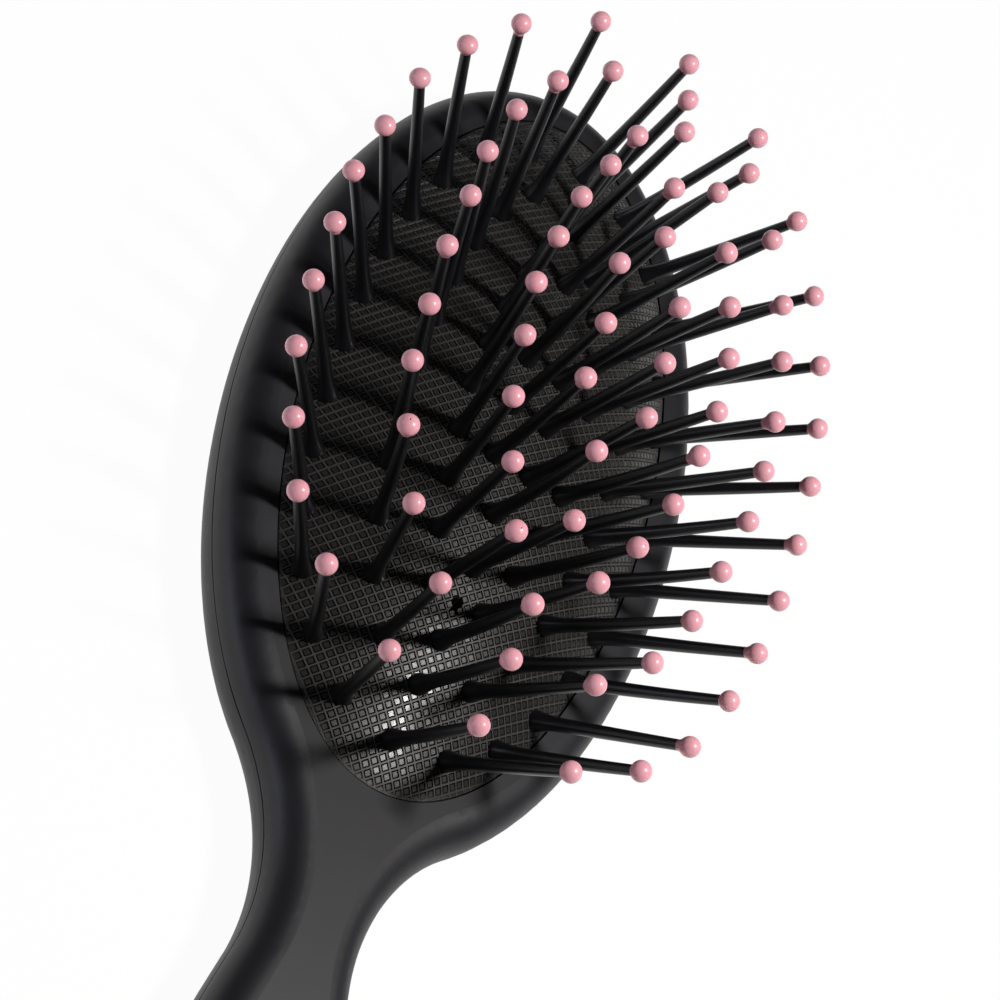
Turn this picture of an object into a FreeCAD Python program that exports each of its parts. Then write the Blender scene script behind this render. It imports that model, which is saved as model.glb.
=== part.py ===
import FreeCAD, Part
import Sketcher
import math
import os

# Cushioned hair brush lying on its back: +Z points out of the pins, +Y from the handle to the head's tip.
# Each piece is drawn about the head's centre, with the back at height 0, and then shifted along Y
# so that the origin lies under the middle of the whole brush.

doc = FreeCAD.newDocument("hair_brush")
sheet = doc.addObject("Spreadsheet::Sheet", "Sizes")

SIZES = (
    ("head_half_width", 31.4, "head outline, half its width"),
    ("head_half_length", 57.5, "head outline, half its length"),
    ("face_depth", 4.5, "front shell, from the seam to the face"),
    ("back_depth", 6.4, "rear shell, from the back to the seam"),
    ("face_round", 4.2, "rounding of the front edge"),
    ("back_round", 5.6, "rounding of the rear edge"),
    ("seam_land", 0.25, "straight band left beside the seam"),
    ("seam_bevel", 0.12, "small bevel on either side of the seam"),
    ("neck_round", 27.5, "hollow curve between head and handle"),
    ("grip_root_half_width", 1.5, "half width where the handle's sides end in the head"),
    ("grip_root_inset", 2.0, "how far the handle's sides reach into the head"),
    ("grip_half_width", 12.3, "handle belly, half its width"),
    ("belly_drop", 119.0, "from the head's centre to the handle belly"),
    ("grip_end_radius", 10.0, "round end of the handle"),
    ("side_wall", 3.2, "rear shell's wall along the handle"),
    ("floor_wall", 2.2, "rear shell's floor"),
    ("bulkhead", 14.0, "solid stretch of the neck below the head"),
    ("peg_radius", 1.6, "locating pegs between the shells"),
    ("peg_reach", 3.4, "length of a locating peg"),
    ("peg_wall", 1.4, "wall of the socket round a peg"),
    ("peg_fit", 0.1, "clearance of a peg in its socket"),
    ("peg_spread", 20.0, "pegs on either side of the handle belly"),
    ("rim_side", 6.35, "rim width beside the pad"),
    ("rim_end", 6.05, "rim width beyond the pad's ends"),
    ("pad_crown", 10.25, "rise of the pad's dome over the face"),
    ("pad_wall", 1.4, "thickness of the rubber"),
    ("pad_edge_gap", 0.15, "clearance round the pad in its opening"),
    ("flange_width", 2.8, "pad flange outside the opening"),
    ("flange_height", 1.5, "thickness of the pad flange"),
    ("flange_gap", 0.1, "clearance round the flange in its seat"),
    ("ledge_width", 0.9, "rear shell's ledge inside the pad's edge"),
    ("vent_radius", 0.5, "air hole in the pad"),
    ("field_shift", 1.42, "pin field moved towards the handle"),
    ("field_side", 2.99, "pad edge to the outer ring, at the sides"),
    ("field_end", 6.95, "pad edge to the outer ring, at the ends"),
    ("outer_power", 2.25, "squareness of the outer ring"),
    ("middle_power", 2.2, "squareness of the middle ring"),
    ("inner_power", 1.6, "squareness of the inner ring"),
    ("middle_share", 0.608, "middle ring between core and outer ring, across"),
    ("inner_share", 0.28, "inner ring between core and outer ring, across"),
    ("middle_reach", 0.691, "middle ring between core and outer ring, along"),
    ("inner_reach", 0.436, "inner ring between core and outer ring, along"),
    ("core_half_gap", 2.54, "core pairs, half their gap"),
    ("core_pitch", 7.55, "core rows, spacing"),
    ("core_draw", 0.47, "core's end pins drawn to the centre"),
    ("lean_across", 1.08, "pin lean across, against the dome's slope"),
    ("lean_along", 0.95, "pin lean along, against the dome's slope"),
    ("pin_length", 21.4, "pad surface to the ball's centre"),
    ("pin_radius", 0.64, "pin shank at the ball"),
    ("stem_radius", 0.8, "pin shank at the pad"),
    ("pin_fit", 0.1, "clearance of a pin in the rubber"),
    ("root_radius", 1.35, "flared root of a pin"),
    ("root_height", 1.8, "height of the flared root"),
    ("anchor_radius", 1.7, "disc behind the pad"),
    ("anchor_height", 0.8, "thickness of that disc"),
    ("anchor_slack", 0.35, "extra stem between pad and disc"),
    ("ball_radius", 1.28, "ball tip"),
    ("ball_seat", 0.5, "pin end beyond the ball's centre"),
    ("ball_fit", 0.02, "clearance of the pin end in the ball"),
)
for line, (alias, number, note) in enumerate(SIZES, start=1):
    sheet.set("A%d" % line, note)
    sheet.set("B%d" % line, str(number))
    sheet.setAlias("B%d" % line, alias)
doc.recompute()

UP = FreeCAD.Vector(0, 0, 1)
GRIP_DROP = "(Sizes.belly_drop - Sizes.head_half_length + Sizes.grip_root_inset)"
GRIP_SWELL = "(Sizes.grip_half_width - Sizes.grip_root_half_width)"
SIDE_RADIUS = "((%s^2 + %s^2) / (2 * %s))" % (GRIP_DROP, GRIP_SWELL, GRIP_SWELL)
END_DROP = "sqrt((%s - Sizes.grip_end_radius)^2 - (%s - Sizes.grip_half_width)^2)" % (SIDE_RADIUS, SIDE_RADIUS)
CENTRE_SHIFT = "((Sizes.belly_drop + %s + Sizes.grip_end_radius - Sizes.head_half_length) / 2)" % END_DROP
PAD_HALF_WIDTH = "(Sizes.head_half_width - Sizes.rim_side)"
PAD_HALF_LENGTH = "(Sizes.head_half_length - Sizes.rim_end)"
FACE_LEVEL = "(Sizes.back_depth + Sizes.face_depth)"
FLANGE_LEVEL = "(Sizes.back_depth + Sizes.flange_gap)"


def size(alias):
    return float(getattr(sheet, alias))


# Values that several pieces share
pad_half_width = size("head_half_width") - size("rim_side")
pad_half_length = size("head_half_length") - size("rim_end")
face_level = size("back_depth") + size("face_depth")
grip_drop = size("belly_drop") - size("head_half_length") + size("grip_root_inset")
grip_swell = size("grip_half_width") - size("grip_root_half_width")
side_radius = (grip_drop ** 2 + grip_swell ** 2) / (2 * grip_swell)
side_offset = side_radius - size("grip_half_width")
end_drop = math.sqrt((side_radius - size("grip_end_radius")) ** 2 - side_offset ** 2)
centre_shift = (size("belly_drop") + end_drop + size("grip_end_radius") - size("head_half_length")) / 2


def level_sketch(body, name, level):
    """Empty sketch of the body, parallel to the back and at the given level."""
    plane = [item for item in body.Origin.OriginFeatures if item.Role == "XY_Plane"][0]
    sketch = body.newObject("Sketcher::SketchObject", name)
    sketch.AttachmentSupport = [(plane, "")]
    sketch.MapMode = "FlatFace"
    sketch.setExpression("AttachmentOffset.Base.z", level)
    return sketch


def bind(sketch, name, kind, *items):
    """Dimension of a sketch: the last item is the expression that drives it."""
    index = sketch.addConstraint(Sketcher.Constraint(kind, *items[:-1]))
    sketch.renameConstraint(index, name)
    sketch.setExpression("Constraints." + name, items[-1])


def oval_sketch(body, name, level, half_width, half_length):
    """Ellipse about the head's centre with its long axis along Y."""
    sketch = level_sketch(body, name, level)
    start_width = pad_half_width
    start_length = pad_half_length
    top = FreeCAD.Vector(0, start_length, 0)
    side = FreeCAD.Vector(start_width, 0, 0)
    sketch.addGeometry(Part.Ellipse(top, side, FreeCAD.Vector()), False)
    sketch.exposeInternalGeometry(0)
    sketch.addConstraint(Sketcher.Constraint("Coincident", 0, 3, -1, 1))
    sketch.addConstraint(Sketcher.Constraint("Vertical", 1))
    bind(sketch, "long_axis", "Distance", 1, 2 * start_length, "2 * " + half_length)
    bind(sketch, "short_axis", "Distance", 2, 2 * start_width, "2 * " + half_width)
    return sketch


def grip_sketch(body, name, level, top_drop, inset):
    """Handle outline: two long side arcs, a round end, and a straight edge at the head's side.

    top_drop and inset are pairs of a number and its expression; inset draws the outline in by a wall.
    """
    sketch = level_sketch(body, name, level)
    reach = side_radius - inset[0]
    end_reach = size("grip_end_radius") - inset[0]
    belly = -size("belly_drop")
    top_angle = math.asin((-top_drop[0] - belly) / reach)
    end_angle = math.atan2(end_drop, side_offset)
    left_centre = FreeCAD.Vector(side_offset, belly, 0)
    right_centre = FreeCAD.Vector(-side_offset, belly, 0)
    end_centre = FreeCAD.Vector(0, belly - end_drop, 0)
    left = Part.Circle(left_centre, UP, reach)
    right = Part.Circle(right_centre, UP, reach)
    end = Part.Circle(end_centre, UP, end_reach)
    half_top = reach * math.cos(top_angle) - side_offset
    sketch.addGeometry(Part.ArcOfCircle(left, math.pi - top_angle, math.pi + end_angle), False)
    sketch.addGeometry(Part.ArcOfCircle(end, math.pi + end_angle, 2 * math.pi - end_angle), False)
    sketch.addGeometry(Part.ArcOfCircle(right, -end_angle, top_angle), False)
    right_top = FreeCAD.Vector(half_top, -top_drop[0], 0)
    left_top = FreeCAD.Vector(-half_top, -top_drop[0], 0)
    sketch.addGeometry(Part.LineSegment(right_top, left_top), False)
    sketch.addConstraint(Sketcher.Constraint("Tangent", 0, 2, 1, 1))
    sketch.addConstraint(Sketcher.Constraint("Tangent", 1, 2, 2, 1))
    sketch.addConstraint(Sketcher.Constraint("Coincident", 2, 2, 3, 1))
    sketch.addConstraint(Sketcher.Constraint("Coincident", 3, 2, 0, 1))
    sketch.addConstraint(Sketcher.Constraint("Symmetric", 0, 3, 2, 3, -2))
    sketch.addConstraint(Sketcher.Constraint("Equal", 0, 2))
    sketch.addConstraint(Sketcher.Constraint("Horizontal", 3))
    bind(sketch, "side_radius", "Radius", 0, reach, "%s - %s" % (SIDE_RADIUS, inset[1]))
    bind(sketch, "end_radius", "Radius", 1, end_reach, "Sizes.grip_end_radius - " + inset[1])
    bind(sketch, "belly", "DistanceY", 0, 3, -1, 1, -belly, "Sizes.belly_drop")
    bind(sketch, "offset", "DistanceX", -1, 1, 0, 3, side_offset, SIDE_RADIUS + " - Sizes.grip_half_width")
    bind(sketch, "top", "DistanceY", 3, 1, -1, 1, top_drop[0], top_drop[1])
    return sketch


def peg_sketch(body, name, level, radius):
    """Two circles on the handle's middle line, one on either side of the belly."""
    sketch = level_sketch(body, name, level)
    for index, side in enumerate((-1, 1)):
        drop = size("belly_drop") + side * size("peg_spread")
        centre = FreeCAD.Vector(0, -drop, 0)
        sketch.addGeometry(Part.Circle(centre, UP, size("peg_radius")), False)
        sketch.addConstraint(Sketcher.Constraint("PointOnObject", index, 3, -2))
        place = "Sizes.belly_drop + %d * Sizes.peg_spread" % side
        bind(sketch, "drop_%d" % index, "DistanceY", index, 3, -1, 1, drop, place)
        bind(sketch, "radius_%d" % index, "Radius", index, size("peg_radius"), radius)
    return sketch


def extrude(body, kind, name, sketch, length, upward):
    """Pad or pocket of a sketch, by an expression's length, up or down from the sketch."""
    feature = body.newObject("PartDesign::" + kind, name)
    feature.Profile = sketch
    feature.setExpression("Length", length)
    normal = 1 if kind == "Pad" else -1
    feature.Reversed = (normal > 0) != upward
    sketch.Visibility = False
    doc.recompute()
    return feature


def round_edges(body, name, radius, chosen):
    """Fillet of the body's edges that the test function picks."""
    base = body.Tip
    edges = ["Edge%d" % index for index, edge in enumerate(base.Shape.Edges, start=1) if chosen(edge)]
    fillet = body.newObject("PartDesign::Fillet", name)
    fillet.Base = (base, edges)
    fillet.setExpression("Radius", radius)
    doc.recompute()
    return fillet


def bevel_edges(body, name, width, chosen):
    """Even bevel of the body's edges that the test function picks."""
    base = body.Tip
    edges = ["Edge%d" % index for index, edge in enumerate(base.Shape.Edges, start=1) if chosen(edge)]
    bevel = body.newObject("PartDesign::Chamfer", name)
    bevel.Base = (base, edges)
    bevel.setExpression("Size", width)
    doc.recompute()
    return bevel


def is_neck_corner(edge):
    """Upright edge where the handle's side runs into the head."""
    first = edge.Vertexes[0].Point
    last = edge.Vertexes[-1].Point
    upright = math.hypot(first.x - last.x, first.y - last.y) < 1e-4
    near_neck = -size("head_half_length") < first.y < -size("head_half_length") / 2
    return upright and near_neck and abs(first.x) > size("grip_root_half_width") / 2


def lies_at(level):
    """Test for edges that lie flat at the given height."""
    def chosen(edge):
        box = edge.BoundBox
        return abs(box.ZMin - level) < 1e-4 and abs(box.ZMax - level) < 1e-4
    return chosen


def shell_blank(name, level, depth, upward):
    """Head and handle outline as one slab with rounded necks."""
    body = doc.addObject("PartDesign::Body", name)
    body.Label = name
    head = oval_sketch(body, name + "_head", level, "Sizes.head_half_width", "Sizes.head_half_length")
    extrude(body, "Pad", name + "_head_slab", head, depth, upward)
    top = size("head_half_length") - size("grip_root_inset")
    top_drop = (top, "Sizes.head_half_length - Sizes.grip_root_inset")
    grip = grip_sketch(body, name + "_grip", level, top_drop, (0.0, "0"))
    extrude(body, "Pad", name + "_grip_slab", grip, depth, upward)
    round_edges(body, name + "_neck", "Sizes.neck_round", is_neck_corner)
    return body


# Front shell: rim, opening, seat for the pad's flange, and pegs on the handle
front_shell = shell_blank("front_shell", "Sizes.back_depth", "Sizes.face_depth", True)
face_rounding = "min(Sizes.face_round; Sizes.face_depth - Sizes.seam_land)"
bevel_edges(front_shell, "face_seam", "Sizes.seam_bevel", lies_at(size("back_depth")))
round_edges(front_shell, "face_edge", face_rounding, lies_at(face_level))
opening = oval_sketch(
    front_shell, "opening", "Sizes.back_depth",
    "(%s + Sizes.pad_edge_gap)" % PAD_HALF_WIDTH,
    "(%s + Sizes.pad_edge_gap)" % PAD_HALF_LENGTH)
extrude(front_shell, "Pocket", "opening_cut", opening, "Sizes.face_depth", True)
flange_seat = oval_sketch(
    front_shell, "flange_seat", "Sizes.back_depth",
    "(%s + Sizes.flange_width + Sizes.flange_gap)" % PAD_HALF_WIDTH,
    "(%s + Sizes.flange_width + Sizes.flange_gap)" % PAD_HALF_LENGTH)
extrude(front_shell, "Pocket", "flange_seat_cut", flange_seat, "Sizes.flange_height + 2 * Sizes.flange_gap", True)
pegs = peg_sketch(front_shell, "peg_circles", "Sizes.back_depth", "Sizes.peg_radius")
extrude(front_shell, "Pad", "pegs", pegs, "Sizes.peg_reach", False)

# Rear shell: rounded back, air space under the pad, hollow handle with sockets for the pegs
rear_shell = shell_blank("rear_shell", "Sizes.back_depth", "Sizes.back_depth", False)
back_rounding = "min(Sizes.back_round; Sizes.back_depth - Sizes.seam_land)"
bevel_edges(rear_shell, "back_seam", "Sizes.seam_bevel", lies_at(size("back_depth")))
round_edges(rear_shell, "back_edge", back_rounding, lies_at(0.0))
cavity_depth = "Sizes.back_depth - Sizes.floor_wall"
air_space = oval_sketch(
    rear_shell, "air_space", "Sizes.back_depth",
    "(%s - Sizes.ledge_width)" % PAD_HALF_WIDTH,
    "(%s - Sizes.ledge_width)" % PAD_HALF_LENGTH)
extrude(rear_shell, "Pocket", "air_space_cut", air_space, cavity_depth, False)
hollow_top = size("head_half_length") + size("bulkhead")
hollow_drop = (hollow_top, "Sizes.head_half_length + Sizes.bulkhead")
hollow_inset = (size("side_wall"), "Sizes.side_wall")
hollow = grip_sketch(rear_shell, "hollow", "Sizes.back_depth", hollow_drop, hollow_inset)
extrude(rear_shell, "Pocket", "hollow_cut", hollow, cavity_depth, False)
socket_radius = "Sizes.peg_radius + Sizes.peg_fit"
bosses = peg_sketch(rear_shell, "boss_circles", "Sizes.floor_wall", socket_radius + " + Sizes.peg_wall")
extrude(rear_shell, "Pad", "bosses", bosses, cavity_depth, True)
sockets = peg_sketch(rear_shell, "socket_circles", "Sizes.back_depth", socket_radius)
extrude(rear_shell, "Pocket", "sockets", sockets, "Sizes.peg_reach + Sizes.peg_fit", False)

for shell in (front_shell, rear_shell):
    shell.setExpression("Placement.Base.y", CENTRE_SHIFT)


# Pad dome: a slice of a sphere squeezed across the head, so that its foot is the pad's oval
squeeze = pad_half_width / pad_half_length
DOME_RADIUS = "((%s^2 + Sizes.pad_crown^2) / (2 * Sizes.pad_crown))" % PAD_HALF_LENGTH
dome_radius = (pad_half_length ** 2 + size("pad_crown") ** 2) / (2 * size("pad_crown"))


def oval_column(name, half_width, half_length, foot, height):
    """Upright column on an ellipse about the head's centre."""
    outline = doc.addObject("Part::Ellipse", name + "_outline")
    outline.setExpression("MajorRadius", half_length)
    outline.setExpression("MinorRadius", half_width)
    outline.Placement.Rotation = FreeCAD.Rotation(UP, 90)
    outline.setExpression("Placement.Base.z", foot)
    column = doc.addObject("Part::Extrusion", name)
    column.Base = outline
    column.DirMode = "Custom"
    column.Dir = UP
    column.Solid = True
    column.setExpression("LengthFwd", height)
    return column


def dome(name, drop):
    """Squeezed ball whose top is the pad's crown, lowered and drawn in by an expression."""
    ball = doc.addObject("Part::Ellipsoid", name)
    ball.setExpression("Radius1", "%s - %s" % (DOME_RADIUS, drop))
    ball.setExpression("Radius2", "%s * %s / %s - %s" % (DOME_RADIUS, PAD_HALF_WIDTH, PAD_HALF_LENGTH, drop))
    ball.setExpression("Radius3", "%s - %s" % (DOME_RADIUS, drop))
    ball.setExpression("Placement.Base.z", "%s + Sizes.pad_crown - %s" % (FACE_LEVEL, DOME_RADIUS))
    return ball


def join(kind, name, pieces):
    """Part boolean of several pieces."""
    result = doc.addObject("Part::" + kind, name)
    result.Shapes = pieces
    return result


def subtract(name, base, tool):
    """Part cut of one piece by another."""
    result = doc.addObject("Part::Cut", name)
    result.Base = base
    result.Tool = tool
    return result


pad_height = "Sizes.face_depth + Sizes.pad_crown"
skin_column = oval_column("skin_column", PAD_HALF_WIDTH, PAD_HALF_LENGTH, FLANGE_LEVEL, pad_height)
skin = join("MultiCommon", "skin", [skin_column, dome("skin_dome", "0")])
inside_column = oval_column(
    "inside_column", "%s - Sizes.pad_wall" % PAD_HALF_WIDTH, "%s - Sizes.pad_wall" % PAD_HALF_LENGTH,
    "Sizes.back_depth", pad_height)
inside = join("MultiCommon", "inside", [inside_column, dome("inside_dome", "Sizes.pad_wall")])
flange = oval_column(
    "flange", "%s + Sizes.flange_width" % PAD_HALF_WIDTH, "%s + Sizes.flange_width" % PAD_HALF_LENGTH,
    FLANGE_LEVEL, "Sizes.flange_height")
membrane = subtract("membrane", join("MultiFuse", "pad_blank", [skin, flange]), inside)


# Pin field: three rings of evenly spaced pins about a small core
RING_COUNTS = (28, 24, 20)
CORE_PAIRS = (-1, 0, 1)
CORE_SINGLES = (-3, -2, 2, 3)
ROW_LIMIT = 6
RING_STEPS = 4000


def power_point(half_width, half_length, power, angle):
    """Point of an oval of the given squareness."""
    cosine = math.cos(angle)
    sine = math.sin(angle)
    across = half_width * math.copysign(abs(cosine) ** (2 / power), cosine)
    along = half_length * math.copysign(abs(sine) ** (2 / power), sine)
    return across, along


def ring_points(half_width, half_length, power, count):
    """Evenly spaced points of a ring, with one on the long axis at either end, and their rows."""
    angles = [2 * math.pi * step / RING_STEPS - math.pi / 2 for step in range(RING_STEPS + 1)]
    trace = [power_point(half_width, half_length, power, angle) for angle in angles]
    lengths = [0.0]
    for here, there in zip(trace, trace[1:]):
        lengths.append(lengths[-1] + math.dist(here, there))
    quarter = count // 4
    points = []
    step = 0
    for index in range(count // 2 + 1):
        target = lengths[-1] * index / count
        while lengths[step + 1] < target:
            step += 1
        part = (target - lengths[step]) / (lengths[step + 1] - lengths[step])
        along = trace[step][1] + part * (trace[step + 1][1] - trace[step][1])
        across = trace[step][0] + part * (trace[step + 1][0] - trace[step][0])
        row = index - quarter
        if abs(row) == quarter:
            points.append((row, 0.0, along))
        else:
            points.append((row, across, along))
            points.append((row, -across, along))
    return points


def pin_field():
    """Every pin as its row, its place across and its place along."""
    outer_width = pad_half_width - size("field_side")
    outer_length = pad_half_length - size("field_end")
    core_width = size("core_half_gap")
    core_length = CORE_SINGLES[-1] * size("core_pitch") - size("core_draw")
    rings = (
        (1.0, 1.0, size("outer_power")),
        (size("middle_share"), size("middle_reach"), size("middle_power")),
        (size("inner_share"), size("inner_reach"), size("inner_power")),
    )
    points = []
    for (share, reach, power), count in zip(rings, RING_COUNTS):
        half_width = core_width + share * (outer_width - core_width)
        half_length = core_length + reach * (outer_length - core_length)
        points += ring_points(half_width, half_length, power, count)
    for row in CORE_PAIRS:
        points.append((row, core_width, row * size("core_pitch")))
        points.append((row, -core_width, row * size("core_pitch")))
    for row in CORE_SINGLES:
        points.append((row, 0.0, row * size("core_pitch") - math.copysign(size("core_draw"), row)))
    return [(row, across, along - size("field_shift")) for row, across, along in points]


def seat(across, along):
    """Placement of a pin on the dome: its root and its leaning axis."""
    depth = math.sqrt(dome_radius ** 2 - along ** 2 - (across / squeeze) ** 2)
    root = FreeCAD.Vector(across, along, face_level + size("pad_crown") - dome_radius + depth)
    lean = FreeCAD.Vector(
        size("lean_across") * across / squeeze ** 2 / depth,
        size("lean_along") * along / depth,
        1)
    return FreeCAD.Placement(root, FreeCAD.Rotation(UP, lean))


def bore(radius, place):
    """Round cutter through the rubber at a pin's seat."""
    reach = size("root_height") + size("pad_wall") + size("anchor_slack")
    cutter = Part.makeCylinder(radius, 2 * reach, FreeCAD.Vector(0, 0, -reach))
    cutter.Placement = place
    return cutter


field = pin_field()
pin_bore = size("stem_radius") + size("pin_fit")
cutters = [bore(pin_bore, seat(across, along)) for row, across, along in field]
axis_pins = sorted(along for row, across, along in field if across == 0.0)
core_end = min(along for row, across, along in field if row == CORE_SINGLES[0] and across == 0.0)
next_pin = axis_pins[axis_pins.index(core_end) - 1]
cutters.append(bore(size("vent_radius"), seat(0.0, (core_end + next_pin) / 2)))
pad_bores = doc.addObject("Part::Feature", "pad_bores")
pad_bores.Shape = Part.makeCompound(cutters)
cushion_pad = subtract("cushion_pad", membrane, pad_bores)
cushion_pad.Label = "cushion_pad"
cushion_pad.setExpression("Placement.Base.y", CENTRE_SHIFT)


def turned_body(name):
    """Body with an empty sketch upright on the XZ plane, for a piece turned about Z."""
    body = doc.addObject("PartDesign::Body", name)
    plane = [item for item in body.Origin.OriginFeatures if item.Role == "XZ_Plane"][0]
    sketch = body.newObject("Sketcher::SketchObject", name + "_profile")
    sketch.AttachmentSupport = [(plane, "")]
    sketch.MapMode = "FlatFace"
    return body, sketch


def turn(body, sketch, name):
    """Full turn of a profile about the sketch's upright axis."""
    revolution = body.newObject("PartDesign::Revolution", name)
    revolution.Profile = sketch
    revolution.ReferenceAxis = (sketch, ["V_Axis"])
    revolution.Angle = 360
    sketch.Visibility = False
    doc.recompute()
    return revolution


def chain(sketch, corners):
    """Closed run of straight edges, with each corner's place bound to its two expressions.

    A corner is a pair of pairs: a number and its expression, across and up.
    """
    points = [FreeCAD.Vector(across[0], up[0], 0) for across, up in corners]
    count = len(points)
    for index in range(count):
        sketch.addGeometry(Part.LineSegment(points[index], points[(index + 1) % count]), False)
    for index in range(count):
        sketch.addConstraint(Sketcher.Constraint("Coincident", index, 2, (index + 1) % count, 1))
    for index, (across, up) in enumerate(corners):
        place_corner(sketch, index, across, up)


def place_corner(sketch, index, across, up):
    """Bind the start of an edge to a distance from the turning axis and a height."""
    if across[0] == 0:
        sketch.addConstraint(Sketcher.Constraint("PointOnObject", index, 1, -2))
    else:
        bind(sketch, "across_%d" % index, "DistanceX", -1, 1, index, 1, across[0], across[1])
    if up[0] == 0:
        sketch.addConstraint(Sketcher.Constraint("PointOnObject", index, 1, -1))
    elif up[0] > 0:
        bind(sketch, "up_%d" % index, "DistanceY", -1, 1, index, 1, up[0], up[1])
    else:
        bind(sketch, "up_%d" % index, "DistanceY", index, 1, -1, 1, -up[0], "-(%s)" % up[1])


# One pin about its own axis: disc behind the pad, stem, flared root, shank
stem_drop = size("pad_wall") + size("anchor_slack")
STEM_DROP = "(Sizes.pad_wall + Sizes.anchor_slack)"
pin_body, pin_profile = turned_body("pin_pattern")
axis = (0, "0")
shank = (size("pin_radius"), "Sizes.pin_radius")
stem = (size("stem_radius"), "Sizes.stem_radius")
anchor = (size("anchor_radius"), "Sizes.anchor_radius")
flare = (size("root_radius"), "Sizes.root_radius")
disc_foot = (-stem_drop - size("anchor_height"), "-(%s + Sizes.anchor_height)" % STEM_DROP)
disc_top = (-stem_drop, "-" + STEM_DROP)
root_foot = (size("pin_fit"), "Sizes.pin_fit")
root_top = (size("root_height"), "Sizes.root_height")
pin_end = (size("pin_length") + size("ball_seat"), "Sizes.pin_length + Sizes.ball_seat")
chain(pin_profile, (
    (axis, disc_foot), (anchor, disc_foot), (anchor, disc_top), (stem, disc_top),
    (stem, root_foot), (flare, root_foot), (stem, root_top), (shank, pin_end), (axis, pin_end)))
turn(pin_body, pin_profile, "pin_turn")

# One ball about the pin's axis, with a blind socket for the pin's end
tip_body, tip_profile = turned_body("tip_pattern")
socket_wall = size("pin_radius") + size("ball_fit")
socket_top = size("pin_length") + size("ball_seat") + size("ball_fit")
mouth_drop = math.sqrt(size("ball_radius") ** 2 - socket_wall ** 2)
ball_centre = FreeCAD.Vector(0, size("pin_length"), 0)
ball = Part.Circle(ball_centre, UP, size("ball_radius"))
mouth_angle = -math.acos(socket_wall / size("ball_radius"))
mouth = FreeCAD.Vector(socket_wall, size("pin_length") - mouth_drop, 0)
socket_corner = FreeCAD.Vector(socket_wall, socket_top, 0)
socket_middle = FreeCAD.Vector(0, socket_top, 0)
crown = FreeCAD.Vector(0, size("pin_length") + size("ball_radius"), 0)
tip_profile.addGeometry(Part.ArcOfCircle(ball, mouth_angle, math.pi / 2), False)
tip_profile.addGeometry(Part.LineSegment(crown, socket_middle), False)
tip_profile.addGeometry(Part.LineSegment(socket_middle, socket_corner), False)
tip_profile.addGeometry(Part.LineSegment(socket_corner, mouth), False)
for first, second in ((0, 1), (1, 2), (2, 3)):
    tip_profile.addConstraint(Sketcher.Constraint("Coincident", first, 2, second, 1))
tip_profile.addConstraint(Sketcher.Constraint("Coincident", 3, 2, 0, 1))
tip_profile.addConstraint(Sketcher.Constraint("PointOnObject", 0, 3, -2))
tip_profile.addConstraint(Sketcher.Constraint("PointOnObject", 0, 2, -2))
tip_profile.addConstraint(Sketcher.Constraint("PointOnObject", 2, 1, -2))
tip_profile.addConstraint(Sketcher.Constraint("Horizontal", 2))
tip_profile.addConstraint(Sketcher.Constraint("Vertical", 3))
bind(tip_profile, "ball_height", "DistanceY", -1, 1, 0, 3, size("pin_length"), "Sizes.pin_length")
bind(tip_profile, "ball_radius", "Radius", 0, size("ball_radius"), "Sizes.ball_radius")
bind(tip_profile, "socket_wall", "DistanceX", -1, 1, 3, 1, socket_wall, "Sizes.pin_radius + Sizes.ball_fit")
SOCKET_TOP = "Sizes.pin_length + Sizes.ball_seat + Sizes.ball_fit"
bind(tip_profile, "socket_top", "DistanceY", -1, 1, 2, 1, socket_top, SOCKET_TOP)
turn(tip_body, tip_profile, "tip_turn")


def field_row(name, pattern, row):
    """Copies of a pattern on every seat of one row of pins, as separate solids."""
    copies = []
    for pin_row, across, along in field:
        if max(-ROW_LIMIT, min(ROW_LIMIT, pin_row)) == row:
            copy = pattern.Shape.copy()
            copy.Placement = seat(across, along)
            copies.append(copy)
    group = doc.addObject("Part::Feature", name)
    group.Label = name
    group.Shape = Part.makeCompound(copies)
    group.Placement.Base = FreeCAD.Vector(0, centre_shift, 0)
    return group


nodes = [front_shell, rear_shell, cushion_pad]
for number, row in enumerate(range(-ROW_LIMIT, ROW_LIMIT + 1), start=1):
    nodes.append(field_row("pin_row_%02d" % number, pin_body, row))
    nodes.append(field_row("tip_row_%02d" % number, tip_body, row))

doc.recompute()
for item in doc.Objects:
    if "Invalid" in item.State or "Error" in item.State:
        raise RuntimeError(item.Name + " did not build")
os.makedirs("parts", exist_ok=True)
for node in nodes:
    if node.Shape.isNull() or not node.Shape.isValid():
        raise RuntimeError(node.Label + " has no valid shape")
    node.Shape.exportStep("parts/%s.step" % node.Label)
    print("%-12s %3d solids %10.2f mm3" % (node.Label, len(node.Shape.Solids), node.Shape.Volume))
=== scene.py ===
import math
import random

import bpy
import numpy as np
from mathutils import Matrix, Vector


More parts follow.
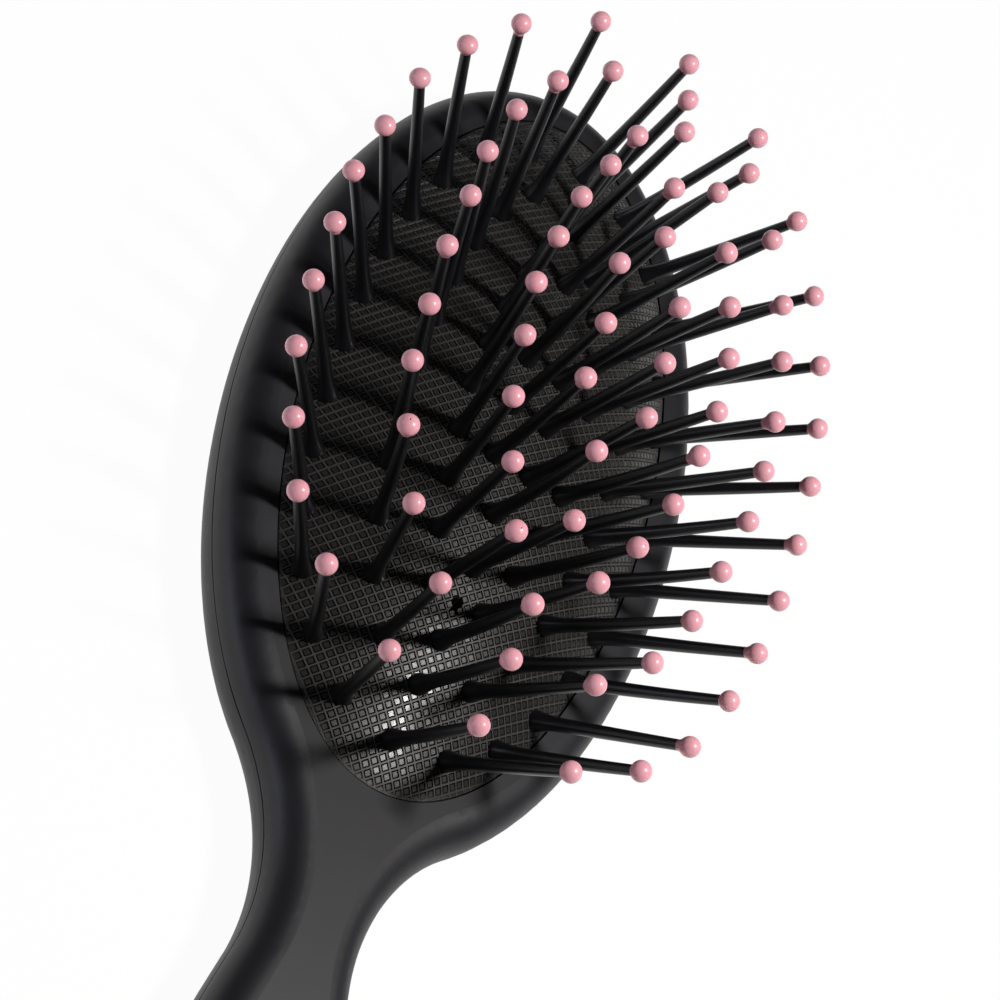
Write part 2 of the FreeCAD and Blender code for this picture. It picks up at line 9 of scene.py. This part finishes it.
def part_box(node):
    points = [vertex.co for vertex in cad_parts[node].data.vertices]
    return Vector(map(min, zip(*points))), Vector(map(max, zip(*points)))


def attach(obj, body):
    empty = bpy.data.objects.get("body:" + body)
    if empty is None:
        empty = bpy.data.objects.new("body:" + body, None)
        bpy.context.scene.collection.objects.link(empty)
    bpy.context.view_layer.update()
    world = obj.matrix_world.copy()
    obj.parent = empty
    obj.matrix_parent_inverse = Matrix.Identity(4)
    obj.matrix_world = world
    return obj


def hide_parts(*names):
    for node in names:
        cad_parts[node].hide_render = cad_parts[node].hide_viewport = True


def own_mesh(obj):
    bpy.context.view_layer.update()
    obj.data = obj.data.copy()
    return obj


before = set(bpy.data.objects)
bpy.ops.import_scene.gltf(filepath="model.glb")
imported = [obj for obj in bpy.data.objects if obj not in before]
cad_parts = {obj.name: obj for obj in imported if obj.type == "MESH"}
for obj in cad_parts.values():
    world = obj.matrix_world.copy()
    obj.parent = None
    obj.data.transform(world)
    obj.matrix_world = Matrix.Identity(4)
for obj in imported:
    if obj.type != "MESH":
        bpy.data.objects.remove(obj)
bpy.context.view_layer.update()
MM = 0.001

# Cushion pad, in millimetres: the oval of its dome, its crown, and where its edge meets the face
FLANGE_WIDTH = 2.8
PAD_SKIRT = 2.4
pad_low, pad_high = (np.array(corner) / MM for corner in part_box("cushion_pad"))
FACE_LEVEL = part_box("front_shell")[1][2] / MM
HEAD_CENTRE = (pad_low[1] + pad_high[1]) / 2
PAD_HALF_WIDTH = (pad_high[0] - pad_low[0]) / 2 - FLANGE_WIDTH
PAD_HALF_LENGTH = (pad_high[1] - pad_low[1]) / 2 - FLANGE_WIDTH
PAD_CROWN = pad_high[2] - FACE_LEVEL
CAP_RADIUS = (PAD_HALF_LENGTH ** 2 + PAD_CROWN ** 2) / (2 * PAD_CROWN)
CAP_NARROWING = PAD_HALF_WIDTH / PAD_HALF_LENGTH

# Diamond grid moulded in the rubber: ridges, a groove inside them, and square faces
LATTICE_PITCH = 1.08
RIDGE_HALF = 0.08
GROOVE_PLACE = 0.17
FACE_EDGE = 0.24
GROOVE_DEPTH = 0.24
FACE_DEPTH = 0.05
FACE_TILT = 0.022
# Painted light and shade in the rubber's colour: ridges painted pale as lit, square faces less
# pale, grooves painted dark as shaded
RIDGE_PAINTED_LIGHT = 0.9
FACE_PAINTED_LIGHT = 0.32
EDGE_SINK = 0.12
LATTICE_FADE = 0.6
VENT_PLACE = (0.0, -28.4)
VENT_RADIUS = 0.62
VENT_DEPTH = 1.6
VENT_POINTS = 3
VENT_RAGGEDNESS = 0.25
TILT_SEED = 11
WELD_DIGITS = 4

# Pins and ball tips, in millimetres: profiles, and the bends of all pins and of the left column
PIN_SPOT_DIGITS = 3
PIN_END_SLICE = 0.05
PIN_REACH = 21.4
PIN_END = 0.5
PIN_SIDES = 18
PIN_STEPS = 16
PIN_FOOT = (
    (1.55, -2.55), (1.7, -2.45), (1.7, -1.85), (1.6, -1.75), (0.8, -1.7), (0.8, -0.6),
    (1.32, -0.5), (1.34, 0.0), (1.28, 0.45), (1.16, 1.0), (1.03, 1.7), (0.93, 2.6), (0.86, 3.8),
)
PIN_END_RADIUS = 0.64
BEND_SEED = 5
BEND_SPREAD = 0.22
COMMON_SET = np.array((-0.35, 0.18, 0.0))
LEFT_COLUMN_SET = np.array((0.15, -0.40, -0.25))
LEFT_COLUMN_ROWS = range(3, 13)
BALL_RADIUS = 1.28
BALL_SIDES = 28
BALL_RINGS = 18
BALL_OVALITY = 0.04
NUB_LENGTH = 0.55
NUB_RINGS = ((0.65, -1.16, 1.0), (0.69, -1.11, 0.65), (0.76, -1.05, 0.3))
BALL_SWEEP = math.radians(143)
CROWN_RADIUS = 0.02
PINHOLE_SHARE = 0.12
PINHOLE_RINGS = ((0.13, 0.0), (0.10, 0.10), (CROWN_RADIUS, 0.16))

# Studio, in metres and watts
FLOOR_HALF = 12.0
FLOOR_GREY = (0.86, 0.86, 0.86, 1)
FLOOR_WHITE = 0.965
SURROUND_LEVEL = 0.04
KEY_PLACE = (0.152, 0.011, 0.405)
KEY_SIDE = 0.06
KEY_WATTS = 2.1
KEY_TINT = (1.0, 0.98, 0.955)
LEFT_PLACE = (-0.70, -0.15, 0.10)
LEFT_WIDTH = 0.50
LEFT_HEIGHT = 0.18
LEFT_WATTS = 0.90
LEFT_TINT = (0.80, 0.84, 1.0)

# Camera at the photograph's angle: its place in millimetres, its axes and its lens
CAMERA_PLACE = (-153.146, -224.162, 330.974)
CAMERA_RIGHT = (0.77289, 0.24392, 0.58578)
CAMERA_DOWN = (0.52685, -0.76119, -0.37817)
CAMERA_AHEAD = (0.35365, 0.6009, -0.71683)
CAMERA_LENS = 133.766
CAMERA_SENSOR = 36.0
CAMERA_NEAR = 0.01


class Tone:
    """A value over a finish, held as a node socket, with arithmetic that adds Math nodes."""

    def __init__(self, finish, socket):
        self.finish = finish
        self.socket = socket

    def joined(self, operation, first, second):
        return self.finish.node("ShaderNodeMath", {"operation": operation}, {0: first, 1: second})

    def __add__(self, other):
        return self.joined("ADD", self, other)

    def __sub__(self, other):
        return self.joined("SUBTRACT", self, other)

    def __rsub__(self, other):
        return self.joined("SUBTRACT", other, self)

    def __mul__(self, other):
        return self.joined("MULTIPLY", self, other)

    __radd__ = __add__
    __rmul__ = __mul__


class Finish:
    """A procedural material for one of the brush's finishes."""

    def __init__(self, name):
        self.material = bpy.data.materials.new(name)
        self.material.use_nodes = True
        self.tree = self.material.node_tree
        self.tree.nodes.clear()

    def node(self, kind, settings=None, sockets=None, output=0):
        made = self.tree.nodes.new(kind)
        for name, setting in (settings or {}).items():
            if name == "stops":
                for stop, (place, colour) in zip(made.color_ramp.elements, setting):
                    stop.position = place
                    stop.color = colour
            else:
                setattr(made, name, setting)
        for name, value in (sockets or {}).items():
            if isinstance(value, Tone):
                self.tree.links.new(value.socket, made.inputs[name])
            else:
                made.inputs[name].default_value = value
        return Tone(self, made.outputs[output]) if made.outputs else None

    def place(self):
        return self.node("ShaderNodeTexCoord", output="Object")

    def mottle(self, place, scale, detail, roughness=0.55):
        sockets = {"Vector": place, "Scale": scale, "Detail": detail, "Roughness": roughness}
        return self.node("ShaderNodeTexNoise", {}, sockets)

    def mixed(self, share, first, second):
        return self.node("ShaderNodeMix", {"data_type": "RGBA"}, {0: share, 6: first, 7: second}, 2)

    def bumped(self, height, strength, depth):
        sockets = {"Height": height, "Strength": strength, "Distance": depth}
        return self.node("ShaderNodeBump", {}, sockets)

    def shown(self, shader):
        self.node("ShaderNodeOutputMaterial", {}, {"Surface": shader})
        return self.material


# Finishes
def soft_touch_charcoal():
    """Matte soft-touch lacquer of the two shells: fine grain, faint clouding and rubbed patches."""
    finish = Finish("soft_touch_charcoal")
    place = finish.place()
    grain = finish.mottle(place, scale=5200.0, detail=2.0)
    clouding = finish.mottle(place, scale=46.0, detail=4.0)
    rubbed = finish.mottle(place, scale=210.0, detail=5.0, roughness=0.6)
    deep = (0.0060, 0.0055, 0.0080, 1)
    clouded = (0.0088, 0.0080, 0.0110, 1)
    dusted = (0.0150, 0.0138, 0.0172, 1)
    colour = finish.mixed(grain * 0.20, finish.mixed(clouding, deep, clouded), dusted)
    shader = finish.node("ShaderNodeBsdfPrincipled", {}, {
        "Base Color": colour,
        "Roughness": 0.41 + 0.07 * clouding + 0.06 * rubbed,
        "Normal": finish.bumped(grain + 0.5 * rubbed, strength=0.16, depth=0.00004),
        "Specular IOR Level": 0.42,
    })
    return finish.shown(shader)


def cushion_rubber_finish():
    """Black rubber with painted light on the ridges, painted shade in the grooves, and smoother
    square faces.
    """
    finish = Finish("cushion_rubber")
    place = finish.place()
    # Per-point painted light and shade: high on the ridges, low in the grooves, the vent and the
    # skirt
    relief = finish.node("ShaderNodeAttribute", {"attribute_name": "painted_light_and_shade"}, output="Fac")
    polish = finish.node("ShaderNodeAttribute", {"attribute_name": "square_face"}, output="Fac")
    dust = finish.mottle(place, scale=900.0, detail=4.0)
    worn = finish.mottle(place, scale=70.0, detail=3.0)
    grain = finish.mottle(place, scale=7000.0, detail=2.0)
    # Colour from painted shade, dark, to painted light, pale
    painted_light_and_shade = finish.node("ShaderNodeValToRGB", {"stops": (
        (0.0, (0.0012, 0.0012, 0.0013, 1)),
        (1.0, (0.0440, 0.0412, 0.0380, 1)),
    )}, {"Fac": relief})
    dusted = (0.0045, 0.0045, 0.0048, 1)
    colour = finish.mixed(0.35 * dust + 0.20 * worn, painted_light_and_shade, dusted)
    shader = finish.node("ShaderNodeBsdfPrincipled", {}, {
        "Base Color": colour,
        "Roughness": 0.46 + 0.10 * dust - 0.13 * polish,
        "Normal": finish.bumped(grain + 0.6 * dust, strength=0.25, depth=0.00003),
        "Specular IOR Level": 0.36,
        "Coat Weight": 0.10 * polish,
        "Coat Roughness": 0.13,
    })
    return finish.shown(shader)


def pin_nylon_finish():
    """Black nylon with a satin skin, drawn finely along each pin."""
    finish = Finish("pin_nylon")
    place = finish.place()
    drawn = finish.node("ShaderNodeMapping", {}, {"Vector": place, "Scale": (1.0, 1.0, 0.12)})
    streak = finish.mottle(drawn, scale=1500.0, detail=2.0)
    handled = finish.mottle(place, scale=160.0, detail=3.0)
    black = (0.0028, 0.0028, 0.0040, 1)
    greyed = (0.0056, 0.0054, 0.0070, 1)
    colour = finish.mixed(streak, black, greyed)
    shader = finish.node("ShaderNodeBsdfPrincipled", {}, {
        "Base Color": colour,
        "Roughness": 0.27 + 0.05 * streak + 0.06 * handled,
        "Normal": finish.bumped(streak, strength=0.03, depth=0.00002),
        "Specular IOR Level": 0.5,
    })
    return finish.shown(shader)


def tip_pink_finish():
    """Dipped pink ball tips: slightly cloudy colour under a smooth skin."""
    finish = Finish("tip_pink")
    place = finish.place()
    cloud = finish.mottle(place, scale=420.0, detail=3.0)
    fleck = finish.mottle(place, scale=3000.0, detail=2.0)
    pale = (0.80, 0.385, 0.445, 1)
    full = (0.75, 0.340, 0.400, 1)
    colour = finish.mixed(cloud, pale, full)
    shader = finish.node("ShaderNodeBsdfPrincipled", {}, {
        "Base Color": colour,
        "Roughness": 0.22 + 0.07 * fleck + 0.06 * cloud,
        "Normal": finish.bumped(fleck + cloud, strength=0.06, depth=0.00004),
        "Specular IOR Level": 0.4,
        "Subsurface Weight": 0.12,
        "Subsurface Radius": (0.0010, 0.0004, 0.0004),
        "Subsurface Scale": 1.0,
    })
    return finish.shown(shader)


def studio_floor_finish():
    """White floor that the camera sees as white, with the brush's shadow kept faint."""
    finish = Finish("studio_floor")
    rays = ("Is Camera Ray", "Is Glossy Ray", "Is Transmission Ray")
    camera, glossy, clear = (finish.node("ShaderNodeLightPath", output=ray) for ray in rays)
    matte = finish.node("ShaderNodeBsdfDiffuse", {}, {"Color": FLOOR_GREY})
    white = finish.node("ShaderNodeEmission", {}, {"Color": (1, 1, 1, 1), "Strength": 1.0})
    seen = (camera + glossy + clear) * FLOOR_WHITE
    return finish.shown(finish.node("ShaderNodeMixShader", {}, {0: seen, 1: matte, 2: white}))


# Meshes
def new_piece(name, points, faces, body, finish, smooth=True):
    """Mesh piece from points in millimetres, riding on a body."""
    mesh = bpy.data.meshes.new(name)
    mesh.from_pydata((np.asarray(points) * MM).tolist(), [], faces)
    mesh.polygons.foreach_set("use_smooth", [smooth] * len(mesh.polygons))
    mesh.update()
    piece = bpy.data.objects.new(name, mesh)
    bpy.context.scene.collection.objects.link(piece)
    mesh.materials.append(finish)
    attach(piece, body)
    return piece


def dome(across, along):
    """Height of the pad's dome over the face, and its slopes across and along."""
    root = np.sqrt(CAP_RADIUS ** 2 - along ** 2 - (across / CAP_NARROWING) ** 2)
    return PAD_CROWN - CAP_RADIUS + root, across / CAP_NARROWING ** 2 / root, along / root


def lattice_faces(spot):
    """Faces between numbered spots: square faces, crossing ridges and the grooves' slopes."""
    here = np.moveaxis(spot[:-1, :-1], (2, 3), (0, 1))
    next_row = np.moveaxis(spot[1:, :-1], (2, 3), (0, 1))
    next_column = np.moveaxis(spot[:-1, 1:], (2, 3), (0, 1))
    beyond = np.moveaxis(spot[1:, 1:], (2, 3), (0, 1))
    ridge, face = here[0], here[2]
    corners = [
        tuple(face),
        (ridge[1], next_row[0, 0], next_row[0, 3], ridge[2]),
        (ridge[3], ridge[2], next_column[0, 1], next_column[0, 0]),
        (ridge[2], next_row[0, 3], beyond[0, 0], next_column[0, 1]),
    ]
    for outer, inner in zip(here[:-1], here[1:]):
        for turn in range(4):
            after = (turn + 1) % 4
            corners.append((outer[turn], outer[after], inner[after], inner[turn]))
    return np.concatenate([np.stack(corner, axis=-1).reshape(-1, 4) for corner in corners])


def welded(points, faces):
    """Faces without doubled corners, where points of the pad's edge fall together."""
    places = np.round(points, WELD_DIGITS)
    _, firsts, same = np.unique(places, axis=0, return_index=True, return_inverse=True)
    joined = firsts[same.ravel()][faces].tolist()
    return [tuple(dict.fromkeys(face)) for face in joined if len(set(face)) > 2]


def open_edge(faces):
    """The spots round the open edge of a surface, in order."""
    sides = {(face[i - 1], face[i]) for face in faces for i in range(len(face))}
    following = {here: there for here, there in sides if (there, here) not in sides}
    start = min(following)
    loop = [start]
    while following[loop[-1]] != start:
        loop.append(following[loop[-1]])
    return loop


def cushion_rubber(finish):
    """Closed domed pad with the diamond grid raised on it, painted light and shade on its relief,
    and a small torn vent hole.
    """
    reach = (PAD_HALF_WIDTH + PAD_HALF_LENGTH) / math.sqrt(2)
    cells = int(reach / LATTICE_PITCH) + 2
    starts = np.arange(-cells, cells)
    rows = starts[:, None, None, None]
    columns = starts[None, :, None, None]
    near = np.array((RIDGE_HALF, GROOVE_PLACE, FACE_EDGE))
    far = 1 - near
    first = (rows + np.stack([near, far, far, near], axis=-1)) * LATTICE_PITCH
    second = (columns + np.stack([near, near, far, far], axis=-1)) * LATTICE_PITCH
    first, second = np.broadcast_arrays(first, second)
    across = (first - second) / math.sqrt(2)
    along = (first + second) / math.sqrt(2)
    oval = np.sqrt((across / PAD_HALF_WIDTH) ** 2 + (along / PAD_HALF_LENGTH) ** 2)

    # Relief, painted light and shade, and polish of ridge, groove and square face, fading out at
    # the pad's edge
    rng = np.random.default_rng(TILT_SEED)
    tilt = rng.normal(0.0, FACE_TILT, (2, len(starts), len(starts)))[..., None, None]
    first_gap = first - (rows + 0.5) * LATTICE_PITCH
    second_gap = second - (columns + 0.5) * LATTICE_PITCH
    rise = tilt[0] * first_gap + tilt[1] * second_gap
    on_face = np.array((0.0, 0.0, 1.0))[:, None]
    relief = np.array((0.0, -GROOVE_DEPTH, -FACE_DEPTH))[:, None] + on_face * rise
    shade = np.broadcast_to(np.array((RIDGE_PAINTED_LIGHT, 0.0, FACE_PAINTED_LIGHT))[:, None], first.shape)
    edge_gap = np.clip((1 - oval) * PAD_HALF_WIDTH / LATTICE_FADE, 0, 1)
    relief = relief * edge_gap - EDGE_SINK * (1 - edge_gap)

    # Spots beyond the oval are drawn in to the pad's edge
    pull = np.maximum(oval, 1)
    across, along = across / pull, along / pull
    height, slope_across, slope_along = dome(across, along)
    length = np.sqrt(1 + slope_across ** 2 + slope_along ** 2)
    from_vent = (across - VENT_PLACE[0], along - VENT_PLACE[1])
    bearing = np.arctan2(from_vent[1], from_vent[0])
    ragged = VENT_RADIUS * (1 + VENT_RAGGEDNESS * np.sin(VENT_POINTS * bearing))
    inside_vent = np.hypot(*from_vent) < ragged
    relief = np.where(inside_vent, -VENT_DEPTH, relief)
    # The vent hole is painted dark: painted shade inside it
    shade = np.where(inside_vent, 0.0, shade)
    polish = np.where(inside_vent, 0.0, on_face * edge_gap)
    points = np.stack([
        across + relief * slope_across / length,
        along + relief * slope_along / length + HEAD_CENTRE,
        FACE_LEVEL + height + relief / length,
    ], axis=-1).reshape(-1, 3)

    faces = lattice_faces(np.arange(first.size).reshape(first.shape))
    faces = welded(points, faces[(oval.ravel()[faces] < 1).any(axis=1)])
    used = sorted({spot for face in faces for spot in face})
    number = {spot: place for place, spot in enumerate(used)}
    faces = [tuple(number[spot] for spot in face) for face in faces]
    points = points[used]

    # Skirt below the dome's edge, closed underneath
    loop = open_edge(faces)
    lowered = points[loop]
    lowered[:, 2] = FACE_LEVEL - PAD_SKIRT
    base = len(points)
    total = len(loop)
    skirt = []
    for i in range(total):
        after = (i + 1) % total
        skirt.append((loop[after], loop[i], base + i, base + after))
    underside = [base + total - 1 - i for i in range(total)]
    points = np.concatenate([points, lowered])
    # The skirt is painted dark: painted shade in the gap round the pad's edge
    shade = np.concatenate([shade.ravel()[used], np.zeros(total)])
    polish = np.concatenate([polish.ravel()[used], np.zeros(total)])
    faces = faces + skirt + [underside]
    piece = new_piece("cushion_rubber", points, faces, "shell", finish, smooth=False)
    # Painted light and shade per point, read by the rubber's finish
    piece.data.attributes.new("painted_light_and_shade", "FLOAT", "POINT").data.foreach_set("value", shade)
    piece.data.attributes.new("square_face", "FLOAT", "POINT").data.foreach_set("value", polish)
    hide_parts("cushion_pad")
    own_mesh(piece)


def pin_lines(node):
    """Root and way of each pin in a packed row, in millimetres, from left to right."""
    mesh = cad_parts[node].data
    spots = np.array([v.co for v in mesh.vertices]) / MM
    group = list(range(len(spots)))

    def head(i):
        while group[i] != i:
            group[i] = group[group[i]]
            i = group[i]
        return i

    at = {}
    for i, spot in enumerate(np.round(spots, PIN_SPOT_DIGITS).tolist()):
        group[i] = at.setdefault(tuple(spot), i)
    for edge in mesh.edges:
        group[head(edge.vertices[0])] = head(edge.vertices[1])
    heads = np.array([head(i) for i in range(len(spots))])
    lines = []
    for name in np.unique(heads):
        pin = np.unique(np.round(spots[heads == name], PIN_SPOT_DIGITS), axis=0)
        middle = pin.mean(axis=0)
        way = np.linalg.svd(pin - middle, full_matrices=False)[2][0]
        way = way * np.sign(way[2])
        run = (pin - middle) @ way
        foot = pin[run < run.min() + PIN_END_SLICE].mean(axis=0)
        end = pin[run > run.max() - PIN_END_SLICE].mean(axis=0)
        way = (end - foot) / np.linalg.norm(end - foot)
        lines.append((end - way * (PIN_REACH + PIN_END), way))
    return sorted(lines, key=lambda line: line[0][0])


def beside(way):
    """Two directions square to a way: across the brush, and along it."""
    across = np.cross(way, (0.0, 1.0, 0.0))
    across = across / np.linalg.norm(across)
    return across, np.cross(way, across)


def add_turned(points, faces, profile, spine, sides):
    """Add a turned form along a spine of spots and ways, closed at both ends."""
    base = len(points)
    for (radius, _), (spot, way) in zip(profile, spine):
        side, other = beside(way)
        for step in range(sides):
            turn = 2 * math.pi * step / sides
            points.append(spot + radius * (math.cos(turn) * side + math.sin(turn) * other))
    for ring in range(len(profile) - 1):
        here = base + ring * sides
        after = here + sides
        for step in range(sides):
            follow = (step + 1) % sides
            faces.append((here + step, here + follow, after + follow, after + step))
    last = base + (len(profile) - 1) * sides
    faces.append(tuple(base + step for step in range(sides - 1, -1, -1)))
    faces.append(tuple(last + step for step in range(sides)))


def pin_profile():
    """Radius and place along a pin, from the disc behind the pad to its end inside the ball."""
    profile = list(PIN_FOOT)
    shank_radius, shank_foot = PIN_FOOT[-1]
    for step in range(1, PIN_STEPS + 1):
        share = step / PIN_STEPS
        radius = shank_radius + (PIN_END_RADIUS - shank_radius) * share
        profile.append((radius, shank_foot + (PIN_REACH + PIN_END - shank_foot) * share))
    return profile


def ball_profile(stretch, nub, pinhole):
    """Radius and place about the ball's centre, with a drawn-out nub and perhaps a pinhole."""
    profile = [(radius, place - share * nub) for radius, place, share in NUB_RINGS]
    for step in range(1, BALL_RINGS):
        turn = BALL_SWEEP * (1 - step / BALL_RINGS)
        radius = BALL_RADIUS * math.sin(turn)
        profile.append((radius / math.sqrt(stretch), BALL_RADIUS * math.cos(turn) * stretch))
    crown = BALL_RADIUS * stretch
    if pinhole:
        profile += [(radius, crown - depth) for radius, depth in PINHOLE_RINGS]
    else:
        profile.append((CROWN_RADIUS, crown))
    return profile


def bent(root, way, bend, place):
    """Spot and way on a slightly bent pin, at a distance from its root."""
    share = max(place, 0.0) / PIN_REACH
    spot = root + way * place + bend * share ** 2
    slope = way + bend * (2 * share / PIN_REACH)
    return spot, slope / np.linalg.norm(slope)


def pin_rows(nylon, pink):
    """Thirteen rows of bent pins with flared roots, and their dipped ball tips."""
    rng = random.Random(BEND_SEED)
    rows = sorted(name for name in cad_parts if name.startswith("pin_row_"))
    for row in rows:
        number = row[-2:]
        pin_points, pin_faces, ball_points, ball_faces = [], [], [], []
        for place, (root, way) in enumerate(pin_lines(row)):
            across, along = beside(way)
            sideways = rng.gauss(0, BEND_SPREAD) * across
            lengthways = rng.gauss(0, BEND_SPREAD) * along
            in_left_column = place == 0 and int(number) in LEFT_COLUMN_ROWS
            common = LEFT_COLUMN_SET if in_left_column else COMMON_SET
            bend = common + sideways + lengthways
            profile = pin_profile()
            spine = [bent(root, way, bend, rise) for _, rise in profile]
            add_turned(pin_points, pin_faces, profile, spine, PIN_SIDES)
            stretch = 1 + rng.uniform(-BALL_OVALITY, BALL_OVALITY)
            nub = NUB_LENGTH * rng.random() ** 2
            profile = ball_profile(stretch, nub, pinhole=rng.random() < PINHOLE_SHARE)
            spine = [bent(root, way, bend, PIN_REACH + rise) for _, rise in profile]
            add_turned(ball_points, ball_faces, profile, spine, BALL_SIDES)
        body = "row_" + number
        pins = new_piece("pins_" + number, pin_points, pin_faces, body, nylon)
        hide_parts(row)
        tips = new_piece("ball_tips_" + number, ball_points, ball_faces, body, pink)
        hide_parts("tip_row_" + number)


# Studio
def softbox(name, place, aim, width, height, watts, tint):
    """Rectangular soft light at a place, turned to its aim."""
    lamp = bpy.data.lights.new(name, "AREA")
    lamp.shape = "RECTANGLE"
    lamp.size = width
    lamp.size_y = height
    lamp.energy = watts
    lamp.color = tint
    holder = bpy.data.objects.new(name, lamp)
    bpy.context.scene.collection.objects.link(holder)
    holder.location = place
    holder.rotation_euler = (Vector(aim) - Vector(place)).to_track_quat("-Z", "Y").to_euler()


def studio():
    """White floor, plain soft light, and the camera at the photograph's angle."""
    mesh = bpy.data.meshes.new("studio_floor")
    near, far = -FLOOR_HALF, FLOOR_HALF
    corners = [(near, near, 0), (far, near, 0), (far, far, 0), (near, far, 0)]
    mesh.from_pydata(corners, [], [(0, 1, 2, 3)])
    floor = bpy.data.objects.new("studio_floor", mesh)
    bpy.context.scene.collection.objects.link(floor)
    mesh.materials.append(studio_floor_finish())

    world = bpy.data.worlds.new("studio_surround")
    bpy.context.scene.world = world
    world.use_nodes = True
    surround = world.node_tree.nodes["Background"]
    surround.inputs["Color"].default_value = (1, 1, 1, 1)
    surround.inputs["Strength"].default_value = SURROUND_LEVEL

    head = (0.0, HEAD_CENTRE * MM, FACE_LEVEL * MM)
    softbox("overhead_softbox", KEY_PLACE, head, KEY_SIDE, KEY_SIDE, KEY_WATTS, KEY_TINT)
    softbox("left_softbox", LEFT_PLACE, head, LEFT_WIDTH, LEFT_HEIGHT, LEFT_WATTS, LEFT_TINT)

    lens = bpy.data.cameras.new("photo_camera")
    lens.lens = CAMERA_LENS
    lens.sensor_width = CAMERA_SENSOR
    lens.clip_start = CAMERA_NEAR
    camera = bpy.data.objects.new("photo_camera", lens)
    bpy.context.scene.collection.objects.link(camera)
    turn = Matrix((CAMERA_RIGHT, -Vector(CAMERA_DOWN), -Vector(CAMERA_AHEAD))).transposed()
    camera.matrix_world = Matrix.Translation(Vector(CAMERA_PLACE) * MM) @ turn.to_4x4()
    bpy.context.scene.camera = camera
    bpy.context.scene.view_settings.view_transform = "Standard"


shell_finish = soft_touch_charcoal()
for shell in ("front_shell", "rear_shell"):
    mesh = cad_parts[shell].data
    mesh.materials.clear()
    mesh.materials.append(shell_finish)
cushion_rubber(cushion_rubber_finish())
pin_rows(pin_nylon_finish(), tip_pink_finish())
studio()
